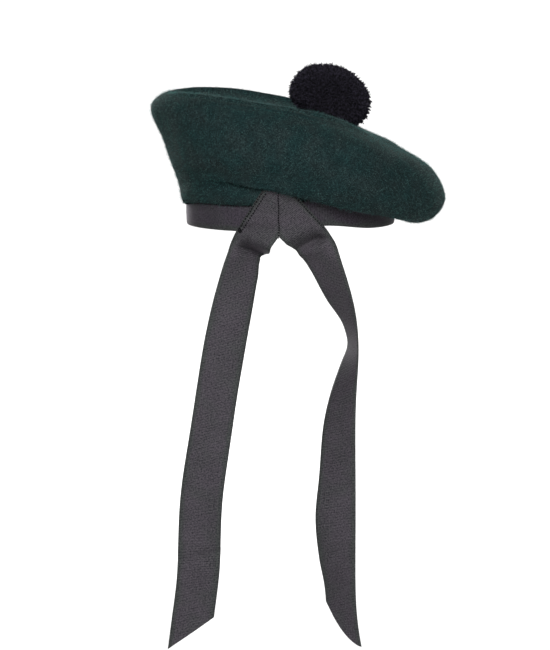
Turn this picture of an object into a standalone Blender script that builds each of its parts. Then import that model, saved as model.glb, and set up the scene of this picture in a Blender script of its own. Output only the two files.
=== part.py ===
"""A balmoral bonnet: felted wool crown, ribbon headband, two ribbon tails and a wool pompom.

Metres, +Z up, +X the wearer's right and +Y the wearer's front. The origin is the centre of the
head opening at the height of the headband's lower edge.
"""

import math
from collections import namedtuple

import bmesh
import bpy
import numpy as np
from mathutils import Matrix, Vector

MM = 0.001

# Head opening and headband. The band's lower edge arches a little where the ribbons pull on it.
OPENING_ACROSS = 162.4 * MM
OPENING_ALONG = 198.4 * MM
BAND_WALL = 1.8 * MM
BAND_HEIGHT = 24 * MM
BAND_ROUND = 0.6 * MM
ARCH_RISE = 4.6 * MM
ARCH_TURN = 290
ARCH_SPREAD = 20

# Felt crown. Overhang is measured from the hem's outside, depth from the band's upper edge.
FELT_WALL = 2.2 * MM
CROWN_OVERHANG = 37.5 * MM
CROWN_DEPTH = 81 * MM
CENTRE_SHIFT = 24.2 * MM
CENTRE_RISE = 57 * MM

# Ribbon tails
RIBBON_WIDE = 33 * MM
RIBBON_WALL = 1 * MM
LEFT_LENGTH = 371 * MM
RIGHT_LENGTH = 368 * MM
FLAP_RISE = 9 * MM
APEX_DROP = 3.2 * MM

# Pompom: its yarn stands in blunt locks, and its underside is flattened against the felt.
TOORIE_ACROSS = 65 * MM
TOORIE_ABOVE = 24.5 * MM
TOORIE_BELOW = 20 * MM
TOORIE_LEAN = 21
TOORIE_SEAT = 1.2 * MM
LOCK_LENGTH = 3 * MM
LOCK_TAPER = 0.62

# Gap between pieces that are sewn together or rest on each other, and what a ribbon's flat facets
# need over the round band and felt to keep it
CLEARANCE = 0.3 * MM
LAP_STAND = 0.5 * MM
# The sewn ribbon leaves the band for the felt at this height.
LAP_START = 7 * MM

# Mesh fineness
AROUND = 64
TAIL_ROWS = 56
ROW_CROWDING = 1.4
TOORIE_FINENESS = 3

# Crown sections, a row for each turn in degrees from the wearer's right, by way of the front.
# Pairs are (out from the hem as a share of the overhang, up from the band's upper edge as a share
# of the depth). The felt leaves the hem, rolls over the band, goes up into a tuck, hangs down in
# a lip, swells out to its widest, comes in over a shoulder to a ridge and its brink, and dips.
Section = namedtuple("Section", "turn hem roll tuck lip belly widest shoulder ridge brink dish")
SECTIONS = (
    Section(0, -0.11, (0.01, -0.06), (0.08, -0.02), (0.31, -0.27), (0.76, -0.24),
            (1.01, -0.06), (0.76, 0.22), (0.09, 0.44), (-0.15, 0.51), 0.62),
    Section(45, -0.06, (0.03, -0.01), (0.11, 0.04), (0.31, -0.13), (0.63, -0.09),
            (0.84, 0.10), (0.65, 0.33), (-0.25, 0.56), (-0.42, 0.59), 0.65),
    Section(90, -0.04, (0.07, 0.04), (0.11, 0.17), (0.24, 0.11), (0.39, 0.20),
            (0.55, 0.43), (0.33, 0.73), (-0.37, 0.87), (-0.50, 0.83), 0.73),
    Section(135, -0.05, (0.07, 0.04), (0.09, 0.15), (0.19, 0.22), (0.35, 0.41),
            (0.49, 0.67), (0.41, 0.89), (0.02, 1.01), (-0.11, 0.96), 0.75),
    Section(180, -0.10, (0.04, -0.03), (0.11, 0.09), (0.24, 0.25), (0.46, 0.54),
            (0.70, 0.83), (0.61, 0.92), (0.30, 0.99), (0.18, 0.94), 0.78),
    Section(225, -0.05, (0.09, 0.03), (0.06, 0.15), (0.16, 0.22), (0.33, 0.40),
            (0.52, 0.67), (0.44, 0.85), (0.04, 0.97), (-0.06, 0.91), 0.73),
    Section(270, -0.03, (0.07, 0.04), (0.11, 0.18), (0.24, 0.09), (0.39, 0.18),
            (0.55, 0.42), (0.33, 0.72), (-0.37, 0.87), (-0.47, 0.81), 0.72),
    Section(292, 0.03, (0.04, 0.07), (0.10, 0.14), (0.27, -0.04), (0.50, 0.03),
            (0.69, 0.27), (0.49, 0.57), (-0.33, 0.77), (-0.46, 0.75), 0.73),
    Section(315, -0.06, (0.03, -0.01), (0.11, 0.04), (0.31, -0.15), (0.63, -0.09),
            (0.84, 0.12), (0.65, 0.41), (-0.28, 0.63), (-0.42, 0.64), 0.67),
)
SPAN_STEPS = (1, 2, 3, 2, 3, 2, 2, 1, 3, 3)

# How each ribbon hangs, a row a bend from its top to its tip: along as a share of its length and
# lean from plumb in degrees away from the seam. The others are shares of RIBBON_WIDE: wide is
# how much of the width shows from behind, deep how far the inner selvedge is ahead of the outer
# one, and behind how far the outer one stands off behind the band.
Bend = namedtuple("Bend", "along lean wide deep behind")
LEFT_BENDS = (
    Bend(0.00, 33.5, 0.91, -0.32, -0.19),
    Bend(0.065, 33.5, 0.91, -0.32, -0.19),
    Bend(0.09, 32.5, 0.90, -0.19, -0.19),
    Bend(0.118, 26.0, 0.90, 0.10, -0.17),
    Bend(0.14, 20.0, 0.75, 0.52, -0.12),
    Bend(0.19, 17.0, 0.82, 0.48, -0.06),
    Bend(0.26, 14.0, 0.92, 0.25, 0.00),
    Bend(0.34, 10.5, 0.97, 0.10, 0.04),
    Bend(0.46, 8.5, 0.97, 0.06, 0.08),
    Bend(0.62, 8.5, 1.00, -0.06, 0.12),
    Bend(0.72, 3.0, 1.00, 0.04, 0.14),
    Bend(0.79, 1.5, 1.00, 0.06, 0.14),
    Bend(0.88, 7.0, 0.98, 0.06, 0.14),
    Bend(1.00, 7.5, 1.00, 0.00, 0.14),
)
RIGHT_BENDS = (
    Bend(0.00, 40.0, 0.94, -0.32, -0.31),
    Bend(0.065, 40.0, 0.94, -0.32, -0.31),
    Bend(0.10, 38.0, 0.90, -0.05, -0.29),
    Bend(0.13, 29.0, 0.87, 0.34, -0.23),
    Bend(0.18, 20.5, 0.80, 0.58, -0.16),
    Bend(0.26, 15.0, 0.64, 0.75, -0.08),
    Bend(0.33, 5.5, 0.37, 0.92, -0.01),
    Bend(0.37, 1.0, 0.31, 0.95, 0.02),
    Bend(0.41, -3.0, 0.44, 0.89, 0.04),
    Bend(0.46, -3.0, 0.60, 0.80, 0.06),
    Bend(0.53, 0.0, 0.77, 0.64, 0.10),
    Bend(0.64, 0.5, 0.88, 0.48, 0.14),
    Bend(0.73, 0.0, 0.96, 0.28, 0.14),
    Bend(0.82, 0.0, 0.88, 0.48, 0.12),
    Bend(0.88, 1.5, 0.77, 0.62, 0.12),
    Bend(1.00, 11.0, 0.79, 0.60, 0.12),
)

# The slantwise cut at each ribbon's end rises this much across it, along a straight line where
# the bow is 1 and along a line that sags where it is more.
LEFT_CUT = 30.5 * MM
RIGHT_CUT = 32.5 * MM
LEFT_BOW = 1.0
RIGHT_BOW = 1.5

# The ribbons leave the band's curve this far below its lower edge, over this drop.
LEAVING_START = 5 * MM
LEAVING_DROP = 20 * MM


def curve_through(knots, rows, places):
    """Rows read at any place from a smooth curve that passes through each given row."""
    knots, rows, places = (np.asarray(each, float) for each in (knots, rows, places))
    slopes = np.gradient(rows, knots, axis=0)
    span = np.clip(np.searchsorted(knots, places, side="right") - 1, 0, len(knots) - 2)
    width = (knots[span + 1] - knots[span])[:, None]
    t = (places - knots[span])[:, None] / width
    start = rows[span] * (1 - 3 * t**2 + 2 * t**3) + slopes[span] * width * t * (1 - t) ** 2
    end = rows[span + 1] * (3 * t**2 - 2 * t**3) - slopes[span + 1] * width * t**2 * (1 - t)
    return start + end


def smooth_step(share):
    share = min(max(share, 0.0), 1.0)
    return share * share * (3 - 2 * share)


def skin(mesh, rows, ring=False, tube=False):
    """Quads between neighbouring rows of points: ring joins last row to first, tube each row's ends."""
    laid = [[mesh.verts.new(point) for point in row] for row in rows]
    for near, far in zip(laid, laid[1:] + laid[:1] if ring else laid[1:]):
        pairs = list(zip(near, far))
        for (a, b), (c, d) in zip(pairs, pairs[1:] + pairs[:1] if tube else pairs[1:]):
            mesh.faces.new((a, b, d, c))
    return laid


def finish(name, mesh, colour, roughness):
    """A named object from a mesh, smooth shaded, with its own material."""
    data = bpy.data.meshes.new(name)
    mesh.to_mesh(data)
    mesh.free()
    data.shade_smooth()
    piece = bpy.data.objects.new(name, data)
    bpy.context.scene.collection.objects.link(piece)
    material = bpy.data.materials.new(name)
    material.use_nodes = True
    shader = material.node_tree.nodes["Principled BSDF"]
    shader.inputs["Base Color"].default_value = (*colour, 1)
    shader.inputs["Roughness"].default_value = roughness
    shader.inputs["Metallic"].default_value = 0
    data.materials.append(material)
    return piece


def thicken(piece, wall, side):
    """Gives a sheet its wall: side -1 adds it behind the faces, 1 in front of them."""
    solid = piece.modifiers.new("wall", "SOLIDIFY")
    solid.thickness = wall
    solid.offset = side
    solid.use_even_offset = True


def band_radius(turn, stand):
    """Distance from the head's axis to a curve that stands this far outside the head opening."""
    across = OPENING_ACROSS / 2 + stand
    along = OPENING_ALONG / 2 + stand
    turn = math.radians(turn)
    return across * along / math.hypot(along * math.cos(turn), across * math.sin(turn))


def polar(turn, radius, height):
    turn = math.radians(turn)
    return np.array((radius * math.cos(turn), radius * math.sin(turn), height))


def section_at(turn):
    """Every column of SECTIONS, read at any turn."""
    rows = [np.hstack(section[1:]) for section in SECTIONS]
    turns = [section.turn for section in SECTIONS]
    before, after = [t - 360 for t in turns], [t + 360 for t in turns]
    return curve_through(before + turns + after, rows * 3, [turn % 360])[0]


def crown_profile(turn):
    """Points up the outside of the felt in one upright plane, from the hem to the centre."""
    hem, *columns = section_at(turn)
    *pairs, dish = columns
    stand = BAND_WALL + CLEARANCE + FELT_WALL
    edge = band_radius(turn, stand)
    points = [polar(turn, edge, BAND_HEIGHT + hem * CROWN_DEPTH)]
    for out, up in zip(pairs[::2], pairs[1::2]):
        points.append(polar(turn, edge + out * CROWN_OVERHANG, BAND_HEIGHT + up * CROWN_DEPTH))
    centre = np.array((CENTRE_SHIFT, 0, BAND_HEIGHT + CENTRE_RISE))
    halfway = (points[-1] + centre) / 2
    halfway[2] = BAND_HEIGHT + dish * CROWN_DEPTH
    points += [halfway, centre]
    strides = [math.sqrt(np.linalg.norm(b - a)) for a, b in zip(points, points[1:])]
    knots = np.concatenate(([0], np.cumsum(strides)))
    places = [knots[0]]
    for start, end, steps in zip(knots, knots[1:], SPAN_STEPS):
        places += list(np.linspace(start, end, steps + 1)[1:])
    return curve_through(knots, points, places)


def crown():
    """The felt shell: a skin of upright profiles that meet in one point under the pompom."""
    mesh = bmesh.new()
    profiles = [crown_profile(360 * step / AROUND) for step in range(AROUND)]
    laid = skin(mesh, [profile[:-1] for profile in profiles], ring=True)
    centre = mesh.verts.new(profiles[0][-1])
    for near, far in zip(laid, laid[1:] + laid[:1]):
        mesh.faces.new((near[-1], far[-1], centre))
    bmesh.ops.recalc_face_normals(mesh, faces=mesh.faces)
    piece = finish("crown", mesh, (0.016, 0.036, 0.035), 0.95)
    thicken(piece, FELT_WALL, -1)


def headband():
    """A ribbon ring with softly rounded lower edges."""
    mesh = bmesh.new()
    rows = []
    for step in range(AROUND):
        turn = 360 * step / AROUND
        lift = ARCH_RISE * math.exp(-(((turn - ARCH_TURN) / ARCH_SPREAD) ** 2))
        outline = (
            (0, lift + BAND_HEIGHT),
            (0, lift + BAND_ROUND),
            (BAND_ROUND, lift),
            (BAND_WALL - BAND_ROUND, lift),
            (BAND_WALL, lift + BAND_ROUND),
            (BAND_WALL, lift + BAND_HEIGHT),
        )
        rows.append([polar(turn, band_radius(turn, out), up) for out, up in outline])
    skin(mesh, rows, ring=True, tube=True)
    bmesh.ops.recalc_face_normals(mesh, faces=mesh.faces)
    finish("headband", mesh, (0.036, 0.031, 0.040), 0.7)


def lap_radius(turn, height):
    """Where a ribbon sewn to the back lies: on the band, bridging the hem, then up into the tuck."""
    profile = crown_profile(turn)
    roll, tuck = profile[sum(SPAN_STEPS[:1])], profile[sum(SPAN_STEPS[:2])]
    heights = (LAP_START, roll[2], tuck[2])
    radii = (band_radius(turn, BAND_WALL), np.hypot(*roll[:2]), np.hypot(*tuck[:2]))
    return np.interp(height, heights, radii) + LAP_STAND


def lap_depth(x, height):
    """The Y at which the sewn ribbon lies at a given X behind the head."""
    y = -band_radius(270, BAND_WALL + LAP_STAND)
    for _ in range(3):
        turn = math.degrees(math.atan2(y, x)) % 360
        y = -math.sqrt(max(lap_radius(turn, height) ** 2 - x**2, 0))
    return y


def tail(name, side, bends, length, cut, bow):
    """One ribbon tail. Side is -1 for the wearer's left, 1 for the right.

    The ribbon's flat pattern has its mitred top and its slanted end, with along and across
    measured from the outer selvedge, and each point of the pattern is then bent into place.
    """
    flap_top = BAND_HEIGHT + FLAP_RISE
    lean = math.radians(bends[0].lean)
    shown = RIBBON_WIDE * bends[0].wide
    apex_row = (flap_top + APEX_DROP - shown * math.sin(lean)) / math.cos(lean)
    top_x = side * (shown * math.cos(lean) - apex_row * math.sin(lean))

    places = np.linspace(-0.12, 1, 225) * length
    table = curve_through(
        [bend.along * length for bend in bends],
        [bend[1:] for bend in bends],
        np.clip(places, 0, length),
    )
    leans = np.radians(table[:, 0])
    strides = np.diff(places, prepend=places[0])
    x = np.cumsum(side * np.sin(leans) * strides)
    z = -np.cumsum(np.cos(leans) * strides)
    x += top_x - np.interp(0, places, x)
    z += flap_top - np.interp(0, places, z)
    back = -band_radius(270, BAND_WALL + CLEARANCE)

    def placed(along, across):
        read = [np.interp(along, places, each) for each in (x, z, *table.T)]
        px, pz, lean_here, wide, deep, behind = read
        lean_here = math.radians(lean_here)
        px -= side * across * wide * math.cos(lean_here)
        pz -= across * wide * math.sin(lean_here)
        hanging = back - behind * RIBBON_WIDE + across * deep
        sewn = lap_depth(px, pz)
        freed = smooth_step((-pz - LEAVING_START) / LEAVING_DROP)
        return px, sewn + (hanging - sewn) * freed, pz

    seam_stand = CLEARANCE / 2

    def top(across):
        inward = across * bends[0].wide
        level = -inward * math.tan(lean)
        mitre = apex_row - (shown - inward) / math.tan(lean) + seam_stand / math.sin(lean)
        return max(level, mitre)

    # One column stands where the level top meets the mitred seam.
    corner = (shown * math.cos(lean) - apex_row * math.sin(lean) - seam_stand) * math.cos(lean)
    corner /= bends[0].wide
    columns = [0, corner, (corner + RIBBON_WIDE) / 2, RIBBON_WIDE]
    ends = [(top(across), length - cut * (across / RIBBON_WIDE) ** bow) for across in columns]
    rows = []
    for step in range(TAIL_ROWS + 1):
        share = (step / TAIL_ROWS) ** ROW_CROWDING
        alongs = [start + (end - start) * share for start, end in ends]
        rows.append([placed(along, across) for along, across in zip(alongs, columns)])
    mesh = bmesh.new()
    skin(mesh, rows)
    if side > 0:
        bmesh.ops.reverse_faces(mesh, faces=mesh.faces)
    piece = finish(name, mesh, (0.062, 0.053, 0.066), 0.7)
    thicken(piece, RIBBON_WALL, 1)


def toorie():
    """The pompom: one lock of yarn on each face of a ball, all growing from one body."""
    mesh = bmesh.new()
    bmesh.ops.create_icosphere(mesh, subdivisions=TOORIE_FINENESS, radius=1)
    locks = bmesh.ops.extrude_discrete_faces(mesh, faces=mesh.faces)["faces"]
    reach = 1 + 2 * LOCK_LENGTH / TOORIE_ACROSS
    for lock in locks:
        middle = lock.calc_center_median()
        for corner in lock.verts:
            corner.co = (middle + (corner.co - middle) * LOCK_TAPER) * reach
    radius = TOORIE_ACROSS / 2 / reach
    for corner in mesh.verts:
        corner.co.x *= radius
        corner.co.y *= radius
        corner.co.z *= (TOORIE_ABOVE if corner.co.z > 0 else TOORIE_BELOW) / reach
    piece = finish("toorie", mesh, (0.0085, 0.0085, 0.0120), 0.95)
    leaning = Matrix.Rotation(math.radians(TOORIE_LEAN), 4, "Y")
    seat = Vector((CENTRE_SHIFT, 0, BAND_HEIGHT + CENTRE_RISE))
    lift = leaning @ Vector((0, 0, TOORIE_BELOW + TOORIE_SEAT))
    piece.matrix_world = Matrix.Translation(seat + lift) @ leaning


def main():
    for old in list(bpy.data.objects):
        bpy.data.objects.remove(old)
    crown()
    headband()
    tail("left_tail", -1, LEFT_BENDS, LEFT_LENGTH, LEFT_CUT, LEFT_BOW)
    tail("right_tail", 1, RIGHT_BENDS, RIGHT_LENGTH, RIGHT_CUT, RIGHT_BOW)
    toorie()


main()
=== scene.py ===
import math
import random
from collections import namedtuple

import bmesh
import bpy
import numpy as np
from mathutils import Matrix, Vector, noise


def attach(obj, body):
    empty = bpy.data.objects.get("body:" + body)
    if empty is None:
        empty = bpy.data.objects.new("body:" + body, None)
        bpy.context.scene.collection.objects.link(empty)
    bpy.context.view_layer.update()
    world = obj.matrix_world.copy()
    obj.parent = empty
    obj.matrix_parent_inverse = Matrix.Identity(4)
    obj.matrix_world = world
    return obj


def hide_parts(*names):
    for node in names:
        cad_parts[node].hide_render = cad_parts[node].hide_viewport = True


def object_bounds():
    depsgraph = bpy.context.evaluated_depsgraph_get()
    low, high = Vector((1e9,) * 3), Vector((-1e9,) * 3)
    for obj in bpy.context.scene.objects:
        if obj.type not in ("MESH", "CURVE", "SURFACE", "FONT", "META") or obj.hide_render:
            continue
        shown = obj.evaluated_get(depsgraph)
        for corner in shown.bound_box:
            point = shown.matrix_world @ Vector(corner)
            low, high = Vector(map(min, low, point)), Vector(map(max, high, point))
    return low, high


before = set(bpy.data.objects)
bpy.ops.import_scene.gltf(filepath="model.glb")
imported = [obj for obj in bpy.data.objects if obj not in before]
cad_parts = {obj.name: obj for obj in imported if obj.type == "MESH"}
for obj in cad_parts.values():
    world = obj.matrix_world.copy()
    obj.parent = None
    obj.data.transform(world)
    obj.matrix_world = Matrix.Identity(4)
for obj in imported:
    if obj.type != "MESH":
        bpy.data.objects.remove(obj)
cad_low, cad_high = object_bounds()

# A balmoral bonnet seen from behind: felted crown, grosgrain band and tails, cut-yarn toorie.
# Metres, +X the wearer's right, +Y the wearer's front, +Z up. The origin is the middle of the
# head opening at the band's lower edge.

MM = 0.001

# Head opening and headband, as in the CAD source. The band's lower edge arches a little where the
# ribbons pull on it.
OPENING_ACROSS = 162.4 * MM
OPENING_ALONG = 198.4 * MM
BAND_WALL = 1.8 * MM
BAND_HEIGHT = 24 * MM
ARCH_RISE = 4.6 * MM
ARCH_TURN = 290
ARCH_SPREAD = 20

# Felt crown, as in the CAD source. Overhang is measured from the hem's outside, depth from the
# band's upper edge.
FELT_WALL = 2.2 * MM
CROWN_OVERHANG = 37.5 * MM
CROWN_DEPTH = 81 * MM
CENTRE_SHIFT = 24.2 * MM
CENTRE_RISE = 57 * MM

# Ribbon tails, as in the CAD source. The slantwise cut at each end rises this much across the
# ribbon, along a straight line where the bow is 1 and along a line that sags where it is more.
RIBBON_WIDE = 33 * MM
LEFT_LENGTH = 371 * MM
RIGHT_LENGTH = 368 * MM
FLAP_RISE = 9 * MM
APEX_DROP = 3.2 * MM
LEFT_CUT = 30.5 * MM
RIGHT_CUT = 32.5 * MM
LEFT_BOW = 1.0
RIGHT_BOW = 1.5

# Toorie, as in the CAD source: its underside is flattened against the felt, and it leans with it.
TOORIE_ACROSS = 65 * MM
TOORIE_ABOVE = 24.5 * MM
TOORIE_BELOW = 20 * MM
TOORIE_LEAN = 21
TOORIE_SEAT = 1.2 * MM

# Gaps between pieces, as in the CAD source. A sewn ribbon leaves the band for the felt at
# LAP_START, and the band's curve LEAVING_START below its lower edge, over LEAVING_DROP.
CLEARANCE = 0.3 * MM
LAP_STAND = 0.5 * MM
LAP_START = 7 * MM
LEAVING_START = 5 * MM
LEAVING_DROP = 20 * MM

# The dressed band swells out between its edges, waves a little and has a rounded lower edge. Its
# weave is laid round it at the mean radius, and its ribbon was cut this long.
BAND_SWELL = 0.35 * MM
BAND_WAVE = 0.25 * MM
BAND_EDGE = 0.9 * MM
BAND_MEAN_RADIUS = 92 * MM

# The dressed ribbons are thinner than their solids and meet closer along the seam. Buckles fade
# out beside the seam, and start to stand out this far above their brow.
RIBBON_WALL = 0.8 * MM
SEAM_GAP = 0.06 * MM
SEAM_FADE = 5 * MM
BROW_SPREAD = 5 * MM

# Real grosgrain has its ribs 0.6 mm apart. They are drawn twice as coarse, so that they show.
RIB_STEP = 1.25 * MM

# The photograph is 550 by 650 pixels. One pixel is this long where the head opening is, and the
# opening's middle is at this pixel. The camera's distance is in metres and its two angles are in
# degrees, and its sensor is this many millimetres wide.
PICTURE_WIDE = 550
PICTURE_HIGH = 650
PIXEL = 0.805 * MM
MIDDLE_ACROSS = 290.5
MIDDLE_DOWN = 222
CAMERA_AWAY = 2.2
CAMERA_TURN = 5
CAMERA_RISE = 4.5
SENSOR = 36

# The pale sweep, in metres: how far below the bonnet its floor lies, where the floor begins and
# where it curves up, the curve's radius, the wall's top and half the width.
FLOOR_DROP = 0.2
FLOOR_BEGINS = -6
CURVE_BEGINS = 1.6
CURVE_RADIUS = 1.2
WALL_TOP = 5
HALF_SWEEP = 7

# Large soft lamps, with their width in metres and their power in watts. The key lights what the
# camera sees, the two at the back draw a pale rim, and the last one lights the sweep.
Lamp = namedtuple("Lamp", "name place aim size power")
LAMPS = (
    Lamp("key", (0.15, -2.1, 0.98), (0, 0, 0), 1.2, 52),
    Lamp("back_left", (-0.95, 2.0, 0.4), (0, 0, 0.06), 0.7, 35),
    Lamp("back_right", (0.95, 2.0, 0.6), (0, 0, 0.06), 0.7, 10),
    Lamp("backdrop", (0, 1.2, 1.9), (0, 2.8, 0.7), 1.6, 104),
)

# Crown sections, a row for each turn in degrees from the wearer's right, by way of the front.
# Pairs are (out from the hem as a share of the overhang, up from the band's upper edge as a share
# of the depth). The felt leaves the hem, rolls over the band, goes up into a tuck, hangs down in
# a lip, swells out to its widest, comes in over a shoulder to a ridge and its brink, and dips.
Section = namedtuple("Section", "turn hem roll tuck lip belly widest shoulder ridge brink dish")
SECTIONS = (
    Section(0, -0.11, (0.01, -0.06), (0.08, -0.02), (0.31, -0.27), (0.76, -0.24),
            (1.01, -0.06), (0.76, 0.22), (0.09, 0.44), (-0.15, 0.51), 0.62),
    Section(45, -0.06, (0.03, -0.01), (0.11, 0.04), (0.31, -0.13), (0.63, -0.09),
            (0.84, 0.10), (0.65, 0.33), (-0.25, 0.56), (-0.42, 0.59), 0.65),
    Section(90, -0.04, (0.07, 0.04), (0.11, 0.17), (0.24, 0.11), (0.39, 0.20),
            (0.55, 0.43), (0.33, 0.73), (-0.37, 0.87), (-0.50, 0.83), 0.73),
    Section(135, -0.05, (0.07, 0.04), (0.09, 0.15), (0.19, 0.22), (0.35, 0.41),
            (0.49, 0.67), (0.41, 0.89), (0.02, 1.01), (-0.11, 0.96), 0.75),
    Section(180, -0.10, (0.04, -0.03), (0.11, 0.09), (0.24, 0.25), (0.46, 0.54),
            (0.70, 0.83), (0.61, 0.92), (0.30, 0.99), (0.18, 0.94), 0.78),
    Section(225, -0.05, (0.09, 0.03), (0.06, 0.15), (0.16, 0.22), (0.33, 0.40),
            (0.52, 0.67), (0.44, 0.85), (0.04, 0.97), (-0.06, 0.91), 0.73),
    Section(270, -0.03, (0.07, 0.04), (0.11, 0.18), (0.24, 0.09), (0.39, 0.18),
            (0.55, 0.42), (0.33, 0.72), (-0.37, 0.87), (-0.47, 0.81), 0.72),
    Section(292, 0.03, (0.04, 0.07), (0.10, 0.14), (0.27, -0.04), (0.50, 0.03),
            (0.69, 0.27), (0.49, 0.57), (-0.33, 0.77), (-0.46, 0.75), 0.73),
    Section(315, -0.06, (0.03, -0.01), (0.11, 0.04), (0.31, -0.15), (0.63, -0.09),
            (0.84, 0.12), (0.65, 0.41), (-0.28, 0.63), (-0.42, 0.64), 0.67),
)

# How each ribbon hangs, a row a bend from its top to its tip: along as a share of its length and
# lean from plumb in degrees away from the seam. The others are shares of RIBBON_WIDE: wide is
# how much of the width shows from behind, deep how far the inner selvedge is ahead of the outer
# one, and behind how far the outer one stands off behind the band.
Bend = namedtuple("Bend", "along lean wide deep behind")
LEFT_BENDS = (
    Bend(0.00, 33.5, 0.91, -0.32, -0.19),
    Bend(0.065, 33.5, 0.91, -0.32, -0.19),
    Bend(0.09, 32.5, 0.90, -0.19, -0.19),
    Bend(0.118, 26.0, 0.90, 0.10, -0.17),
    Bend(0.14, 20.0, 0.75, 0.52, -0.12),
    Bend(0.19, 17.0, 0.82, 0.48, -0.06),
    Bend(0.26, 14.0, 0.92, 0.25, 0.00),
    Bend(0.34, 10.5, 0.97, 0.10, 0.04),
    Bend(0.46, 8.5, 0.97, 0.06, 0.08),
    Bend(0.62, 8.5, 1.00, -0.06, 0.12),
    Bend(0.72, 3.0, 1.00, 0.04, 0.14),
    Bend(0.79, 1.5, 1.00, 0.06, 0.14),
    Bend(0.88, 7.0, 0.98, 0.06, 0.14),
    Bend(1.00, 7.5, 1.00, 0.00, 0.14),
)
RIGHT_BENDS = (
    Bend(0.00, 40.0, 0.94, -0.32, -0.31),
    Bend(0.065, 40.0, 0.94, -0.32, -0.31),
    Bend(0.10, 38.0, 0.90, -0.05, -0.29),
    Bend(0.13, 29.0, 0.87, 0.34, -0.23),
    Bend(0.18, 20.5, 0.80, 0.58, -0.16),
    Bend(0.26, 15.0, 0.64, 0.75, -0.08),
    Bend(0.33, 5.5, 0.37, 0.92, -0.01),
    Bend(0.37, 1.0, 0.31, 0.95, 0.02),
    Bend(0.41, -3.0, 0.44, 0.89, 0.04),
    Bend(0.46, -3.0, 0.60, 0.80, 0.06),
    Bend(0.53, 0.0, 0.77, 0.64, 0.10),
    Bend(0.64, 0.5, 0.88, 0.48, 0.14),
    Bend(0.73, 0.0, 0.96, 0.28, 0.14),
    Bend(0.82, 0.0, 0.88, 0.48, 0.12),
    Bend(0.88, 1.5, 0.77, 0.62, 0.12),
    Bend(1.00, 11.0, 0.79, 0.60, 0.12),
)

# Soft dents and swells in the felt. Centre as turn in degrees and height, then the spread along
# the turn in degrees and upward, and how far the felt stands out, or in where it is negative.
Dent = namedtuple("Dent", "turn height spread_turn spread_up out")
DENTS = (
    Dent(212, 74 * MM, 13, 22 * MM, -3.2 * MM),
    Dent(228, 37.5 * MM, 14, 3.0 * MM, 0.9 * MM),
    Dent(251, 34 * MM, 11, 3.0 * MM, 1.1 * MM),
    Dent(238, 42 * MM, 24, 6.5 * MM, -2.2 * MM),
    Dent(236, 55 * MM, 26, 8 * MM, 1.6 * MM),
    Dent(250, 91 * MM, 30, 2.6 * MM, 0.9 * MM),
    Dent(255, 86 * MM, 34, 3.0 * MM, -0.8 * MM),
    Dent(292, 62 * MM, 22, 16 * MM, 1.6 * MM),
    Dent(322, 40 * MM, 9, 18 * MM, -1.5 * MM),
)

# Creases pressed into the felt along its ridge: distance past the ridge towards the centre, the
# turns in degrees between which each runs, how far it stands out and how wide it is.
Crease = namedtuple("Crease", "past begins ends out wide")
CREASES = (
    Crease(0.0 * MM, 196, 318, 1.5 * MM, 1.4 * MM),
    Crease(0.0 * MM, 278, 334, 1.5 * MM, 6.0 * MM),
    Crease(6.5 * MM, 190, 330, -3.4 * MM, 3.6 * MM),
    Crease(-3.6 * MM, 200, 300, -0.7 * MM, 2.0 * MM),
    Crease(-9.5 * MM, 232, 306, 0.7 * MM, 1.6 * MM),
    Crease(-12.6 * MM, 232, 306, -0.5 * MM, 2.0 * MM),
)

# Degrees over which a crease rises from where it begins and dies away to where it ends
CREASE_RISES = 14
CREASE_DIES = 20

# The ridge's crest, where the pale loose hairs crowd into a painted highlight: its turns in degrees
# and its width
CREST_BEGINS = 190
CREST_ENDS = 325
CREST_WIDE = 2.6 * MM

# Lumps that handling leaves in soft felt: how far apart they lie and how far they stand out
LUMPS = ((46 * MM, 0.9 * MM), (15 * MM, 0.28 * MM))

# The relief fades out over this many rows of the felt next to the hem and next to the centre.
# The hem is this much woollier than the rest, over its first rows.
HEM_FADE = 8
CENTRE_FADE = 10
HEM_WOOL = 1.2
HEM_ROWS = 4

# Buckles across the ribbons, mostly where they turn from the flap to the free hang. The cloth
# stands out at the brow, curls back to its deepest line and comes forward again to the lip. Each
# line is given in millimetres along the outer and the inner selvedge. Begins is where across the
# ribbon the buckle starts, and grows the share of the width in which it reaches its full depth.
# Out is how far the brow stands off the plain ribbon, and drop how far behind it the cloth curls.
Buckle = namedtuple("Buckle", "brow deep lip begins grows out drop")
LEFT_BUCKLES = (
    Buckle((31, 10), (36, 17), (40, 27), -0.6, 0.5, 1.1 * MM, 1.2 * MM),
    Buckle((40, 34), (50, 49.5), (55.5, 55.5), 0.05, 0.50, 1.2 * MM, 14.5 * MM),
    Buckle((294, 287), (299, 291), (305, 297), -0.4, 0.9, 0.3 * MM, 0.9 * MM),
)
RIGHT_BUCKLES = (
    Buckle((36, 12), (41, 20), (46, 29), 0.0, 0.6, 0.2 * MM, 0.8 * MM),
    Buckle((36, 25), (46, 37), (52, 50), 0.03, 0.35, 1.0 * MM, 12 * MM),
)

# Rows of running stitches on the flaps: how far in from the outer selvedge, between which places
# along the ribbon, how far apart the stitches are and how long each is.
StitchRow = namedtuple("StitchRow", "across begins ends pitch length")
LEFT_FLAP_ROWS = (
    StitchRow(1.1 * MM, 3 * MM, 37 * MM, 2.3 * MM, 1.0 * MM),
    StitchRow(4.1 * MM, 1 * MM, 37 * MM, 2.3 * MM, 1.0 * MM),
)
RIGHT_FLAP_ROWS = (
    StitchRow(1.4 * MM, 5 * MM, 38 * MM, 2.1 * MM, 0.9 * MM),
)

# How far a thread's core stands off the ribbon's back: in a row, and in the small tack
STITCH_STAND = 0.85 * MM
TACK_STAND = 0.9 * MM

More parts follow.
